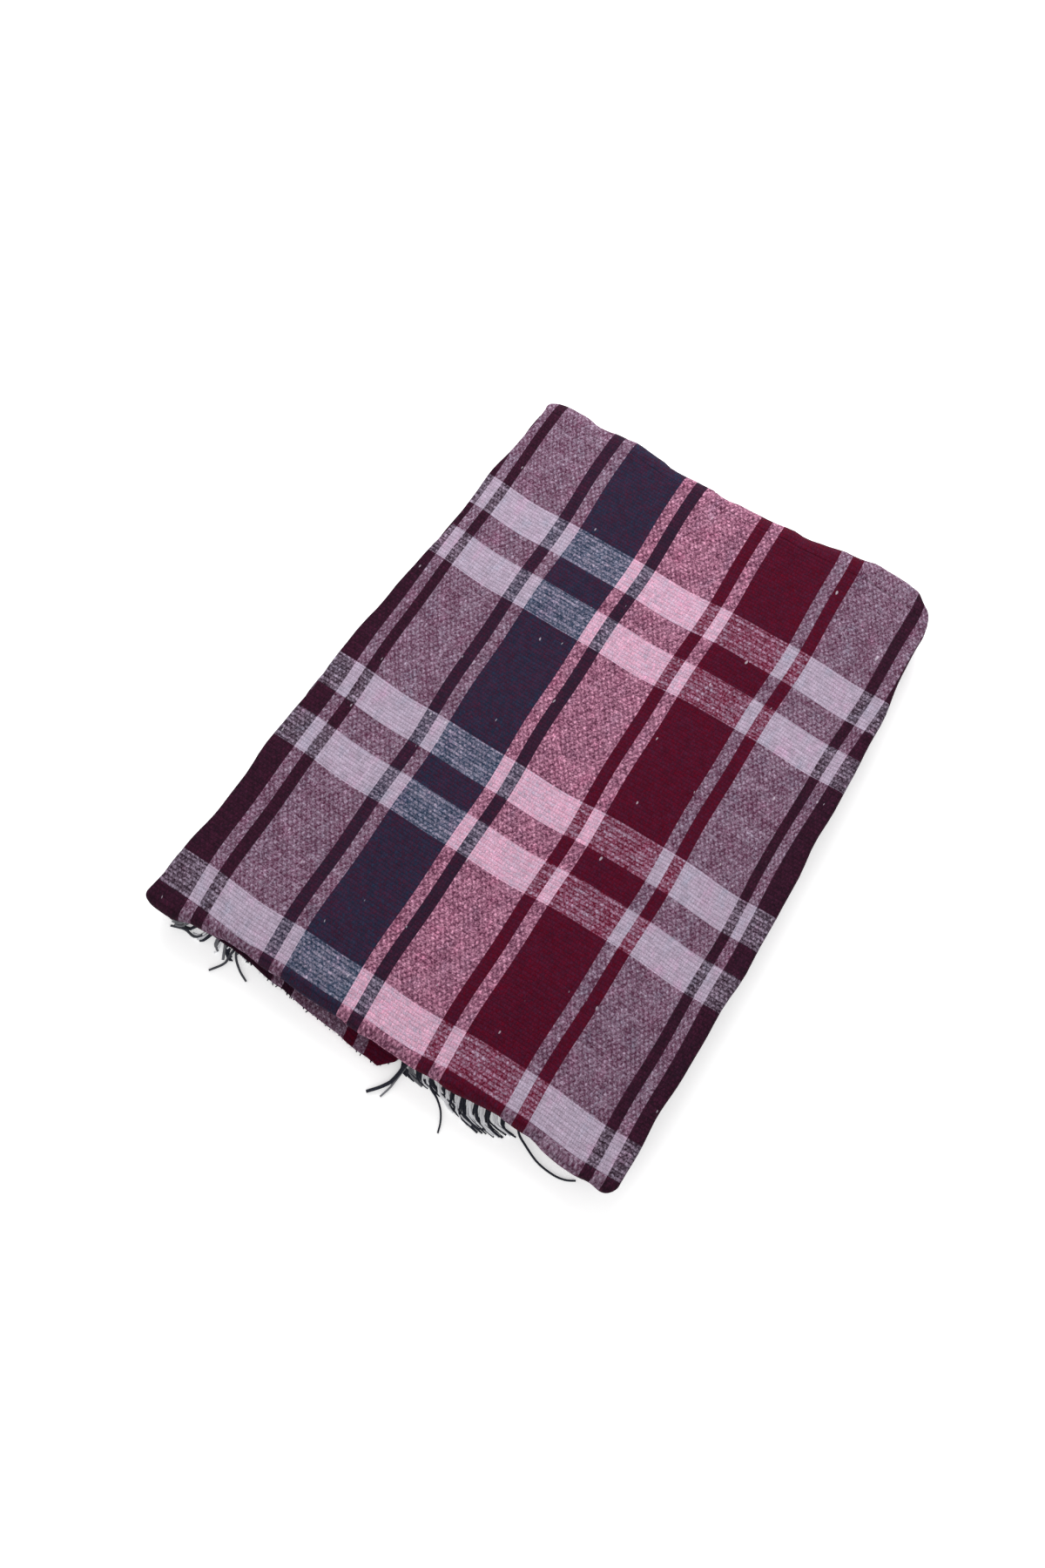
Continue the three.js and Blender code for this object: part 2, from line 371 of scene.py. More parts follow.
# The near end of the lowest leaf slips out from under the near fold, more and more up to a corner near the
# middle: x and how far it has slipped, in millimetres
LIP = [(-160, 11), (-148, 15), (-111, 20.8), (7, 30.4), (15, 17), (22, 2), (30, 0)]
LIP_BLEND = 120 * MM  # the slip fades out over this distance from the fringed end


def slip_lip(points):
    """Slides the upper two panels of the lowest leaf out at its near end."""
    first, last = ALONG["ranges"]["leaf_1"]
    x = points[:, first:last + 1, 0]
    y = points[:, first:last + 1, 1]
    at, reach = np.array(LIP).T * MM
    end = y[:, :1]
    fade = smooth(1 - (y - end) / LIP_BLEND)
    panels = column_share(["panel_1", "panel_4"])
    points[:, first:last + 1, 1] = y - np.interp(x, at, reach) * fade * panels
    return points


CROOKED = 24 * MM  # how far the folds have wandered across the stripes at the lowest leaf's near end

# How much cloth is bunched up beside the side folds, from near to far, in millimetres, and over what width
LEFT_BUNCHED = [(0, 0), (0.2, 0), (0.4, 2), (0.6, 5), (0.8, 6), (1, 5)]
RIGHT_BUNCHED = [(0, 3), (0.2, 5), (0.4, 8.5), (0.55, 9), (0.7, 6), (0.85, 3), (1, 0)]
LEFT_BUNCHED_WIDTH = 34 * MM
RIGHT_BUNCHED_WIDTH = 40 * MM
# How stripes and bands wander, as sums of waves like those above
STRIPE_WAVES = [(190, 0.8, 0.2), (83, 0.45, 1.4)]
BAND_WAVES = [(240, 1.0, 2.6), (117, 0.7, 0.9), (58, 0.35, 0.1)]
STRETCH_LIMITS = (0.5, 2)  # of a step of the settled cloth against the same step of the even one
SHORTEST_STEP = 1e-6


def coordinate_across(ideal, settled):
    """Where each point lies across the flat cloth: on the top face, its own x."""
    first, last = ACROSS["ranges"]["panel_2"]
    middle = (first + last) // 2
    steps = np.linalg.norm(np.diff(settled, axis=0), axis=2)
    run = np.concatenate([np.zeros((1, settled.shape[1])), np.cumsum(steps, 0)])
    u = settled[middle, :, 0] - (run - run[middle])
    first, last = ALONG["ranges"]["leaf_1"]
    u[:, first:last + 1] += CROOKED * smooth(np.linspace(1, 0, last - first + 1))
    along = (ideal[..., 1] - NEAR_FRONT) / (FAR_BACK - NEAR_FRONT)
    u -= through(LEFT_BUNCHED, along) * smooth(1 - (ideal[..., 0] - LEFT_SIDE) / LEFT_BUNCHED_WIDTH)
    u += through(RIGHT_BUNCHED, along) * smooth(1 - (RIGHT_SIDE - ideal[..., 0]) / RIGHT_BUNCHED_WIDTH)
    return u


def coordinate_along(ideal, settled):
    """Where each point lies along the flat cloth: in the middle of the top leaf, its own y."""
    first, last = ALONG["ranges"]["leaf_4"]
    row = (first + last) // 2
    really = np.linalg.norm(np.diff(settled, axis=1), axis=2)
    ideally = np.maximum(np.linalg.norm(np.diff(ideal, axis=1), axis=2), SHORTEST_STEP)
    steps = np.clip(really / ideally, *STRETCH_LIMITS) * np.diff(ALONG["run"])
    run = np.concatenate([np.zeros((settled.shape[0], 1)), np.cumsum(steps, 1)], 1)
    return settled[:, row:row + 1, 1] - (run - run[:, row:row + 1])


def pattern_coordinates(ideal, settled):
    """Where each point of the cloth lies in the flat cloth, in metres."""
    u = coordinate_across(ideal, settled)
    v = coordinate_along(ideal, settled)
    return u + wave(v, *STRIPE_WAVES), v + wave(u, *BAND_WAVES)


IDEAL = ideal_cloth()
SETTLED = slip_lip(settle(IDEAL))
PATTERN_U, PATTERN_V = pattern_coordinates(IDEAL, SETTLED)

# ---------------------------------------------------------------- nodes of a material


def srgb(red, green, blue):
    """A colour in the renderer's linear numbers from the usual 0 to 255."""
    def linear(c):
        c /= 255
        return c / 12.92 if c <= 0.04045 else ((c + 0.055) / 1.055) ** 2.4
    return (linear(red), linear(green), linear(blue), 1.0)


EYE_GAMMA = 2.2
SPECULAR = 0.06
SHEEN_ROUGHNESS = 0.6
YARN_ROUGHNESS = 0.95


class Recipe:
    """One material's nodes. Its methods add a node and give back the output that matters."""

    def __init__(self, name):
        self.material = bpy.data.materials.new(name)
        self.material.use_nodes = True
        self.tree = self.material.node_tree
        self.tree.nodes.clear()

    def put(self, socket, value):
        if isinstance(value, bpy.types.NodeSocket):
            self.tree.links.new(value, socket)
        else:
            socket.default_value = value

    def node(self, kind, inputs=None, **settings):
        node = self.tree.nodes.new(kind)
        for key, value in settings.items():
            setattr(node, key, value)
        for key, value in (inputs or {}).items():
            self.put(node.inputs[key], value)
        return node

    def math(self, operation, *values):
        return self.node("ShaderNodeMath", dict(enumerate(values)), operation=operation).outputs[0]

    def between(self, value, low, high):
        """0 below low, 1 above high and smooth between them."""
        inputs = {"Value": value, "From Min": low, "From Max": high}
        return self.node("ShaderNodeMapRange", inputs, interpolation_type="SMOOTHSTEP").outputs[0]

    def vector(self, x, y, z=0.0):
        return self.node("ShaderNodeCombineXYZ", {"X": x, "Y": y, "Z": z}).outputs[0]

    def noise(self, vector, scale, detail=2.0, roughness=0.5):
        inputs = {"Vector": vector, "Scale": scale, "Detail": detail, "Roughness": roughness}
        return self.node("ShaderNodeTexNoise", inputs).outputs[0]

    def mix(self, factor, first, second, blend="MIX"):
        node = self.node("ShaderNodeMix", data_type="RGBA", blend_type=blend)
        self.put(node.inputs[0], factor)
        self.put(node.inputs[6], first)
        self.put(node.inputs[7], second)
        return node.outputs[2]

    def soft_mix(self, factor, first, second):
        """Mixes two yarns as the eye does where they lie too fine to be told apart."""
        first = self.node("ShaderNodeGamma", {"Color": first, "Gamma": 1 / EYE_GAMMA}).outputs[0]
        second = self.node("ShaderNodeGamma", {"Color": second, "Gamma": 1 / EYE_GAMMA}).outputs[0]
        mixed = self.mix(factor, first, second)
        return self.node("ShaderNodeGamma", {"Color": mixed, "Gamma": EYE_GAMMA}).outputs[0]

    def bands(self, value, stops):
        """Constant colours: each stop is the value that its colour starts at, from 0 to 1."""
        node = self.node("ShaderNodeValToRGB", {"Fac": value})
        ramp = node.color_ramp
        ramp.interpolation = "CONSTANT"
        while len(ramp.elements) < len(stops):
            ramp.elements.new(1.0)
        for element, (position, colour) in zip(ramp.elements, stops):
            element.position = position
            element.color = colour
        return node.outputs[0]

    def finish(self, colour, height, strength, distance, sheen):
        bump = self.node("ShaderNodeBump", {"Height": height, "Strength": strength, "Distance": distance})
        shader = self.node("ShaderNodeBsdfPrincipled", {
            "Base Color": colour,
            "Roughness": YARN_ROUGHNESS,
            "Specular IOR Level": SPECULAR,
            "Sheen Weight": sheen,
            "Sheen Roughness": SHEEN_ROUGHNESS,
            "Normal": bump.outputs[0],
        })
        self.node("ShaderNodeOutputMaterial", {"Surface": shader.outputs[0]})
        return self.material


# ---------------------------------------------------------------- the plaid

YARNS = {
    "lilac": srgb(174, 157, 176),
    "navy": srgb(30, 46, 68),
    "pink": srgb(230, 168, 194),
    "burgundy": srgb(88, 4, 26),
    "black": srgb(34, 19, 30),
    "ink": srgb(34, 30, 46),
}
NARROW_YARNS = {"navy": "ink"}  # where a narrow stripe has another yarn than the wide one it goes with
PLUM_WEFT = srgb(68, 26, 48)
PALE_WEFT = srgb(180, 164, 185)
SLUB = srgb(214, 204, 216)
BLACK = (0, 0, 0, 1)
WHITE = (1, 1, 1, 1)
LIGHTER = (1.6, 1.6, 1.6, 1)
DARKER = (0.5, 0.5, 0.5, 1)
PINK_CAST = (1.17, 0.93, 1.03, 1)
GREY_CAST = (0.84, 1.0, 1.0, 1)

# The wide stripes from the far selvedge of panel 4 to the selvedge of panel 1. The one at FIRST_WIDE is the
# lilac one that starts at FIRST_REPEAT_X.
WARP_ORDER = [
    "lilac", "navy", "pink", "burgundy", "lilac", "black",
    "lilac", "navy", "pink", "burgundy", "lilac", "black",
    "lilac", "navy", "pink", "burgundy", "lilac", "black",
    "navy", "pink", "burgundy", "lilac", "black", "lilac",
]
FIRST_WIDE = 12

# Weft bands, as y on the top face, and how they repeat
PALE_BAND = 23.2 * MM
BAND_GAP = 18.8 * MM
BAND_PERIOD = 152.4 * MM
FIRST_BAND_Y = NEAR_FRONT + 118.4 * MM

# Noise in the flat cloth: scale, detail and roughness
DRIFT_NOISE = (130.0, 5.0, 0.8)
PATCH_NOISE = (85.0, 3.0, 0.6)
BLOTCH_NOISE = (260.0, 3.0, 0.7)
GRAIN_NOISE = (900.0, 2.0, 0.6)
SPECKLE_NOISE = (1500.0, 1.0, 0.5)
CAST_NOISE = (75.0, 5.0, 0.75)
FIBRE_NOISE = (1300.0, 3.0, 0.7)

END_DRIFT, PICK_DRIFT = 1.3, -0.9  # how many threads the ends and picks wander, against the noise
STREAK_SCALE = 140.0  # how fast a yarn's own shade changes along its length, per metre
END_STRIDE, PICK_STRIDE = 0.731, 0.917  # steps in the noise from one yarn to the next
STREAK_RANGE = (0.25, 0.75)
STREAK_SHADE = 0.34

# What decides how much of the warp shows: 0 is half of it, and WEAVE_SOFTNESS is nearly all of it
WEAVE_SOFTNESS = 3.0  # higher where warp and weft show less apart
CHECKER, PALE_CHECKER = 0.75, -0.25  # the weave's own checks, and what a pale band adds to that
ROW_LEAN, PALE_ROW_LEAN = -0.3, -0.3  # every second pick, and what a pale band adds to that
PICK_MIDDLE = 0.64  # the warp shows more between the picks of a pale band and less on them, about this level
PALE_LEAN = 0.3
GRAIN, BLOTCH, PATCH = 7.0, 4.6, 2.6

SPECKLE_FULL = 0.35
GROOVE_WIDTH = 0.75
PICK_GROOVE, END_GROOVE = 0.26, 0.12  # how dark the painted shade in the grooves is
CAST_LENGTH = 0.6  # patches of one cast are longer along the warp, by this
CAST_MIDDLE, CAST_LOW, CAST_HIGH = 0.5, 0.25, 0.75
SLUBS_ACROSS, SLUBS_ALONG = 380.0, 170.0  # per metre, in the noise that places them
SLUB_FROM, SLUB_TO = 0.83, 0.87
SLUB_SHOWS = 0.4
DOME_POWER = 0.6
FIBRE_HEIGHT, SLUB_HEIGHT = 0.5, 0.6
WEAVE_BUMP, WEAVE_DEPTH = 0.5, 0.4 * MM


def centred(r, flat, noise):
    """Noise about 0."""
    return r.math("SUBTRACT", r.noise(flat, *noise), 0.5)


def warp_yarn(r, u):
    """The colour of the warp end at a place across the flat cloth."""
    repeats = r.math("DIVIDE", r.math("SUBTRACT", u, FIRST_REPEAT_X), REPEAT)
    part = r.math("FRACT", repeats)
    in_narrow = r.math("LESS_THAN", part, 2 * NARROW)
    in_second = r.math("MULTIPLY", r.math("GREATER_THAN", part, NARROW), in_narrow)
    stripe = r.math("SUBTRACT", r.math("FLOOR", repeats), in_second)
    count = len(WARP_ORDER)
    share = r.math("DIVIDE", r.math("ADD", stripe, FIRST_WIDE + 0.5), float(count))
    wide_yarn = r.bands(share, [(k / count, YARNS[name]) for k, name in enumerate(WARP_ORDER)])
    narrow_order = [NARROW_YARNS.get(name, name) for name in WARP_ORDER]
    narrow_yarn = r.bands(share, [(k / count, YARNS[name]) for k, name in enumerate(narrow_order)])
    return r.mix(in_narrow, wide_yarn, narrow_yarn)


def pale_bands(r, v):
    """1 on the pale picks and 0 on the others."""
    in_period = r.math("FLOORED_MODULO", r.math("SUBTRACT", v, FIRST_BAND_Y), BAND_PERIOD)
    second = PALE_BAND + BAND_GAP
    return r.bands(r.math("DIVIDE", in_period, BAND_PERIOD), [
        (0, WHITE),
        (PALE_BAND / BAND_PERIOD, BLACK),
        (second / BAND_PERIOD, WHITE),
        ((second + PALE_BAND) / BAND_PERIOD, BLACK),
    ])


def streaked(r, yarn, place):
    """A yarn that is lighter or darker along its length, as spun yarn is."""
    streak = r.between(r.noise(place, 1.0, 2.0), *STREAK_RANGE)
    return r.mix(streak, r.mix(STREAK_SHADE, yarn, BLACK), yarn)


def warp_shows(r, flat, pale, pick_number, across, along):
    """The share of the warp that shows. In plain weave it does where the product of the sines is positive."""
    every_second = r.math("SUBTRACT", r.math("FLOORED_MODULO", pick_number, 2.0), 0.5)
    blotch = centred(r, flat, BLOTCH_NOISE)
    grain = centred(r, flat, GRAIN_NOISE)
    patch = centred(r, flat, PATCH_NOISE)
    uneven = r.math("MULTIPLY_ADD", blotch, BLOTCH, r.math("MULTIPLY", patch, PATCH))
    uneven = r.math("MULTIPLY_ADD", grain, GRAIN, uneven)
    row_lean = r.math("MULTIPLY", every_second, r.math("MULTIPLY_ADD", pale, PALE_ROW_LEAN, ROW_LEAN))
    between_picks = r.math("SUBTRACT", PICK_MIDDLE, r.math("ABSOLUTE", along))
    row_lean = r.math("MULTIPLY_ADD", between_picks, pale, row_lean)
    lean = r.math("ADD", r.math("MULTIPLY_ADD", pale, PALE_LEAN, uneven), row_lean)
    weave = r.math("MULTIPLY", across, along)
    checker = r.math("MULTIPLY", weave, r.math("MULTIPLY_ADD", pale, PALE_CHECKER, CHECKER))
    return r.between(r.math("ADD", checker, lean), -WEAVE_SOFTNESS, WEAVE_SOFTNESS)


def speckled(r, colour, flat):
    """Single fibres lighter and darker than the rest."""
    speckle = centred(r, flat, SPECKLE_NOISE)
    lighter = r.mix(1.0, colour, LIGHTER, "MULTIPLY")
    colour = r.mix(r.between(speckle, 0.0, SPECKLE_FULL), colour, lighter)
    darker = r.mix(1.0, colour, DARKER, "MULTIPLY")
    return r.mix(r.between(speckle, 0.0, -SPECKLE_FULL), colour, darker)


def grooved(r, colour, wave_height, depth):
    """Painted shade in the grooves between threads."""
    groove = r.between(r.math("ABSOLUTE", wave_height), 0.0, GROOVE_WIDTH)
    return r.mix(r.math("MULTIPLY", r.math("SUBTRACT", 1.0, groove), depth), colour, BLACK)


def heathered(r, colour, u, v):
    """Patches with a pink cast and patches with a grey one."""
    cast = r.noise(r.vector(u, r.math("MULTIPLY", v, CAST_LENGTH)), *CAST_NOISE)
    pink = r.mix(1.0, colour, PINK_CAST, "MULTIPLY")
    colour = r.mix(r.between(cast, CAST_MIDDLE, CAST_HIGH), colour, pink)
    grey = r.mix(1.0, colour, GREY_CAST, "MULTIPLY")
    return r.mix(r.between(cast, CAST_MIDDLE, CAST_LOW), colour, grey)


def plaid():
    """Plain weave out of coloured warp ends and picks, both a little uneven, with slubs and a soft nap."""
    r = Recipe("plaid_cloth")
    split = r.node("ShaderNodeSeparateXYZ", {"Vector": r.node("ShaderNodeUVMap", uv_map="Cloth").outputs[0]})
    u, v = split.outputs[0], split.outputs[1]
    flat = r.vector(u, v)

    # Threads that wander a little, and their numbers
    drift = r.noise(flat, *DRIFT_NOISE)
    ends = r.math("MULTIPLY_ADD", drift, END_DRIFT, r.math("DIVIDE", u, END_PITCH))
    picks = r.math("MULTIPLY_ADD", drift, PICK_DRIFT, r.math("DIVIDE", v, PICK_PITCH))
    end_number = r.math("FLOOR", ends)
    pick_number = r.math("FLOOR", picks)

    # Their colours
    pale = pale_bands(r, v)
    end_place = r.vector(r.math("MULTIPLY", end_number, END_STRIDE), r.math("MULTIPLY", v, STREAK_SCALE))
    pick_place = r.vector(r.math("MULTIPLY", u, STREAK_SCALE), r.math("MULTIPLY", pick_number, PICK_STRIDE))
    warp = streaked(r, warp_yarn(r, u), end_place)
    weft = streaked(r, r.mix(pale, PLUM_WEFT, PALE_WEFT), pick_place)

    # How they show
    across = r.math("SINE", r.math("MULTIPLY", ends, math.pi))
    along = r.math("SINE", r.math("MULTIPLY", picks, math.pi))
    colour = r.soft_mix(warp_shows(r, flat, pale, pick_number, across, along), weft, warp)
    colour = speckled(r, colour, flat)
    # Painted shade between the picks and between the ends
    colour = grooved(r, colour, along, PICK_GROOVE)
    colour = grooved(r, colour, across, END_GROOVE)
    colour = heathered(r, colour, u, v)

    # A few slubs: short thick pale bits of yarn
    slub_place = r.vector(r.math("MULTIPLY", u, SLUBS_ACROSS), r.math("MULTIPLY", v, SLUBS_ALONG))
    slub = r.between(r.noise(slub_place, 1.0, 0.0), SLUB_FROM, SLUB_TO)
    colour = r.mix(r.math("MULTIPLY", slub, SLUB_SHOWS), colour, SLUB)

    dome = r.math("POWER", r.math("ABSOLUTE", r.math("MULTIPLY", across, along)), DOME_POWER)
    raised = r.math("MULTIPLY_ADD", slub, SLUB_HEIGHT, dome)
    height = r.math("MULTIPLY_ADD", r.noise(flat, *FIBRE_NOISE), FIBRE_HEIGHT, raised)
    return r.finish(colour, height, WEAVE_BUMP, WEAVE_DEPTH, 0.0)


DARK_YARN = srgb(22, 27, 40)
PALE_YARN = srgb(244, 245, 249)
YARN_GRAIN = 2600.0
YARN_GRAIN_RANGE = (0.4, 0.7)
YARN_GRAIN_SHOWS = 0.06
YARN_BUMP, YARN_DEPTH = 0.4, 0.3 * MM
YARN_SHEEN = 0.1


def fringe_yarn():
    """Loose ends of yarn, from dark to off-white, as their tint attribute says."""
    r = Recipe("fringe_yarn")
    tint = r.node("ShaderNodeAttribute", attribute_name="tint").outputs["Fac"]
    place = r.node("ShaderNodeTexCoord").outputs["Object"]
    grain = r.noise(place, YARN_GRAIN, 2.0)
    colour = r.mix(tint, DARK_YARN, PALE_YARN)
    light = r.math("MULTIPLY", r.between(grain, *YARN_GRAIN_RANGE), YARN_GRAIN_SHOWS)
    colour = r.mix(light, colour, SLUB)
    return r.finish(colour, grain, YARN_BUMP, YARN_DEPTH, YARN_SHEEN)


PLAID = plaid()
FRINGE_YARN = fringe_yarn()

# ---------------------------------------------------------------- cloth pieces


def make_object(name, points, faces, material):
    mesh = bpy.data.meshes.new(name)
    mesh.from_pydata([tuple(p) for p in points], [], faces)
    mesh.materials.append(material)
    piece = bpy.data.objects.new(name, mesh)
    bpy.context.scene.collection.objects.link(piece)
    mesh.shade_smooth()
    return piece


def cloth_piece(name, stretches):
    """The cloth along some stretches that follow each other, with its pattern coordinates and thickness."""
    first = ALONG["ranges"][stretches[0]][0]
    last = ALONG["ranges"][stretches[-1]][1]
    rows = last - first + 1
    columns = SETTLED.shape[0]
    points = SETTLED[:, first:last + 1].reshape(-1, 3)
    i, j = np.meshgrid(np.arange(columns - 1), np.arange(rows - 1), indexing="ij")
    corner = (i * rows + j).ravel()
    faces = np.stack([corner, corner + 1, corner + rows + 1, corner + rows], 1)
    piece = make_object(name, points, faces.tolist(), PLAID)
    layer = piece.data.uv_layers.new(name="Cloth")
    flat = np.stack([PATTERN_U[:, first:last + 1].ravel(), PATTERN_V[:, first:last + 1].ravel()], 1)
    layer.data.foreach_set("uv", flat[faces.ravel()].astype(np.float32).ravel())
    thick = piece.modifiers.new("thickness", "SOLIDIFY")
    thick.thickness = THICKNESS
    thick.offset = 0
    return piece


def cad_nodes(leaf):
    return [f"{leaf}_{name}" for name in ACROSS["ranges"]]


def make_cloth():
    upper = ["leaf_4", "near_fold", "leaf_3"]
    pieces = {
        "leaf_1": cloth_piece("throw_leaf_1", ["leaf_1"]),
        "leaf_2": cloth_piece("throw_leaf_2", ["leaf_2"]),
        "upper": cloth_piece("throw_upper_half", upper),
        "outer": cloth_piece("throw_far_fold_outer", ["far_fold_outer"]),
        "inner": cloth_piece("throw_far_fold_inner", ["far_fold_inner"]),
    }
    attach(pieces["leaf_1"], "lower_half")
    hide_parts(*cad_nodes("leaf_1"))
    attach(pieces["leaf_2"], "lower_half")
    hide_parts(*cad_nodes("leaf_2"))
    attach(pieces["upper"], "upper_half")
    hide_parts(*cad_nodes("leaf_3"), *cad_nodes("leaf_4"), "near_fold")
    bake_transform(pieces["outer"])
    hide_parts("far_fold_outer")
    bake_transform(pieces["inner"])
    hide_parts("far_fold_inner")
    return pieces


# ---------------------------------------------------------------- fringe

YARN_RADIUS = 0.5 * MM
YARN_SIDES = 5
YARN_STEPS = 7
YARN_TAPER = 0.75


def tube(path, radius):
    """Points and faces of a thin closed tube along a path, thinner towards its far end."""
    path = np.array(path)
    tangent = np.gradient(path, axis=0)
    tangent /= np.linalg.norm(tangent, axis=1)[:, None]
    side = np.cross(tangent, (0, 0, 1.0))
    side /= np.maximum(np.linalg.norm(side, axis=1), 1e-9)[:, None]
    up = np.cross(side, tangent)
    width = radius * np.linspace(1, YARN_TAPER, len(path))[:, None]
    angles = np.arange(YARN_SIDES) * 2 * np.pi / YARN_SIDES
    rings = [path + width * (np.cos(a) * side + np.sin(a) * up) for a in angles]
    points = np.stack(rings, 1).reshape(-1, 3)
    faces = []
    for row in range(len(path) - 1):
        for k in range(YARN_SIDES):
            a = row * YARN_SIDES + k
            b = row * YARN_SIDES + (k + 1) % YARN_SIDES
            faces.append((a, b, b + YARN_SIDES, a + YARN_SIDES))
    faces.append(tuple(reversed(range(YARN_SIDES))))
    faces.append(tuple(len(points) - YARN_SIDES + k for k in range(YARN_SIDES)))
    return points, faces


def strand(points, steps=YARN_STEPS):
    """A smooth path through three or more points."""
    points = np.array(points, float)
    t = np.linspace(0, len(points) - 1, steps)
    k = np.clip(t.astype(int), 0, len(points) - 2)
    slope = np.gradient(points, axis=0)
    f = (t - k)[:, None]
    start = (1 + 2 * f) * (1 - f) ** 2 * points[k] + f * (1 - f) ** 2 * slope[k]
    end = f * f * (3 - 2 * f) * points[k + 1] - f * f * (1 - f) * slope[k + 1]
    return start + end


def yarn_mesh(name, paths, tints, radii):
    all_points = []
    all_faces = []
    shades = []
    for path, tint, radius in zip(paths, tints, radii):
        points, faces = tube(path, radius)
        start = sum(len(p) for p in all_points)
        all_points.append(points)
        all_faces += [tuple(start + k for k in face) for face in faces]
        shades += [tint] * len(points)
    piece = make_object(name, np.concatenate(all_points), all_faces, FRINGE_YARN)
    attribute = piece.data.attributes.new("tint", "FLOAT", "POINT")
    attribute.data.foreach_set("value", np.array(shades, np.float32))
    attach(piece, "lower_half")
    return piece


def edge_point(leaf, column):
    """The middle of the cloth's fringed end at one column."""
    row = ALONG["ranges"][leaf][0] if leaf == "leaf_1" else ALONG["ranges"][leaf][1]
    return SETTLED[column, row]


DARK, SLATE, GREY, PALE = 0.0, 0.05, 0.2, 1.0
FRINGE_SPACING = 3.4 * MM
SHORT_ENDS = (8, 15)
SLIPPED_ENDS = (1, 2.5)
# Loose ends that show in front of the near fold: shade, thickness against the usual one, and points as x and
# the distance beyond the near fold's front, in millimetres
STRANDS = [
    (SLATE, 2.1, [(-124, -6), (-131, 6.8), (-140, 7), (-149, 9.8)]),
    (DARK, 2.5, [(-122, -6), (-126, 5), (-128.5, 7.8)]),
    (SLATE, 2.0, [(-106, -7), (-107.5, 4.5), (-107.8, 11.1), (-113.5, 19.3)]),
    (SLATE, 1.8, [(-107, -7), (-104.7, 3), (-97.7, 9.4), (-90.5, 12.9)]),
    (GREY, 2.2, [(-116, -5), (-112.5, 4), (-109.9, 9.8)]),
    (PALE, 1.5, [(-119, -6), (-116, 6), (-117, 9)]),
    (DARK, 2.9, [(19, -9), (16.8, 11.6), (13.2, 19.6), (6.5, 27.6)]),
    (GREY, 1.7, [(20, -9), (17.6, 14.4), (17.2, 18.3), (15, 25.7)]),
    (DARK, 1.6, [(32, -8), (36, 4.1), (43.8, 8.6), (49.4, 13.3), (53, 19), (55, 25)]),
    (DARK, 1.7, [(88, -12), (94.3, -1.1), (101.9, 3.4), (113, 7.8), (124.2, 8.8), (131.6, 7.5), (137, 4.7)]),
]
# Tufts of parallel ends, in millimetres: x, how far they reach beyond the front, how far they lean to the
# right, shade, and count
TUFTS = [
    (-140, 7, -9, GREY, 6), (-134, 7, -10, DARK, 4), (-127, 8, -6, PALE, 6), (-119, 7, 3, GREY, 5),
    (-111, 7, 5, DARK, 7), (-100, 3, 4, PALE, 4), (15, 8, 10, DARK, 8), (20, 7, 12, GREY, 6),
    (25, 6, 12, DARK, 8), (30, 6, 10, PALE, 5), (34, 6, 12, DARK, 8), (39, 7, 12, PALE, 6),
    (43, 8, 13, DARK, 6), (46, 9, 13, PALE, 7), (49, 10, 14, DARK, 9), (53, 10, 15, PALE, 7),
    (57, 11, 16, DARK, 9), (61, 10, 15, PALE, 7), (65, 9, 15, DARK, 9), (69, 8, 14, PALE, 6),
    (73, 7, 13, DARK, 7), (78, 4, 12, PALE, 5), (83, 3, 10, DARK, 4),
]
TUFT_WIDTH = 1.2  # to either side of its middle, in millimetres
TUFT_REACH = (0.65, 1.15)
TUFT_LEAN = (0.7, 1.3)
TUFT_STACKED = 2.2  # how high the ends of a tuft lie on each other, in millimetres
TUFT_RADII = (1.1, 2.1)
TUFT_SHADES = (0.8, 1.1)
ROW_RADII = (0.8, 1.25)
ROW_SWING = 0.5
SLIPPED_BEYOND = 6 * MM  # ends rooted this far past the fringed end have slipped out with the lip
DROP_POWER = 0.6
STRAND_HEIGHT = 3 * MM  # above the table, where a loose end comes out from under the fold


def in_front(points):
    """Points of a loose end in the part's frame, from under the fold down to the table."""
    drop = np.linspace(0, 1, len(points)) ** DROP_POWER
    return [
        (x * MM, NEAR_FRONT - beyond * MM, STRAND_HEIGHT * (1 - fall) + YARN_RADIUS)
        for (x, beyond), fall in zip(points, drop)
    ]


def tuft_strands(x, reach, lean, count, random):
    """Paths of ends that lie side by side, bend the same way and part a little towards their tips."""
    paths = []
    for _ in range(count):
        at = x + random.uniform(-1, 1) * TUFT_WIDTH
        out = reach * random.uniform(*TUFT_REACH)
        side = lean * random.uniform(*TUFT_LEAN)
        curve = [(at - 0.2 * lean, -12), (at, -2), (at + 0.3 * side, 0.75 * out), (at + side, out)]
        path = strand(in_front(curve))
        path[:, 2] += YARN_RADIUS + random.uniform(0, TUFT_STACKED) * MM * np.linspace(1, 0.4, len(path))
        paths.append(path)
    return paths


def front_fringe(random):
    """Paths, shades and radii of all the loose ends in front of the near fold."""
    paths, tints, radii = [], [], []
    for tint, size, points in STRANDS:
        path = strand(in_front(points), 4 * len(points))
        path[:, 2] += (size - 1) * YARN_RADIUS
        paths.append(path)
        tints.append(tint)
        radii.append(size * YARN_RADIUS)
    for x, reach, lean, tint, count in TUFTS:
        for path in tuft_strands(x, reach, lean, count, random):
            paths.append(path)
            tints.append(tint * random.uniform(*TUFT_SHADES))
            radii.append(YARN_RADIUS * random.uniform(*TUFT_RADII))
    return paths, tints, radii


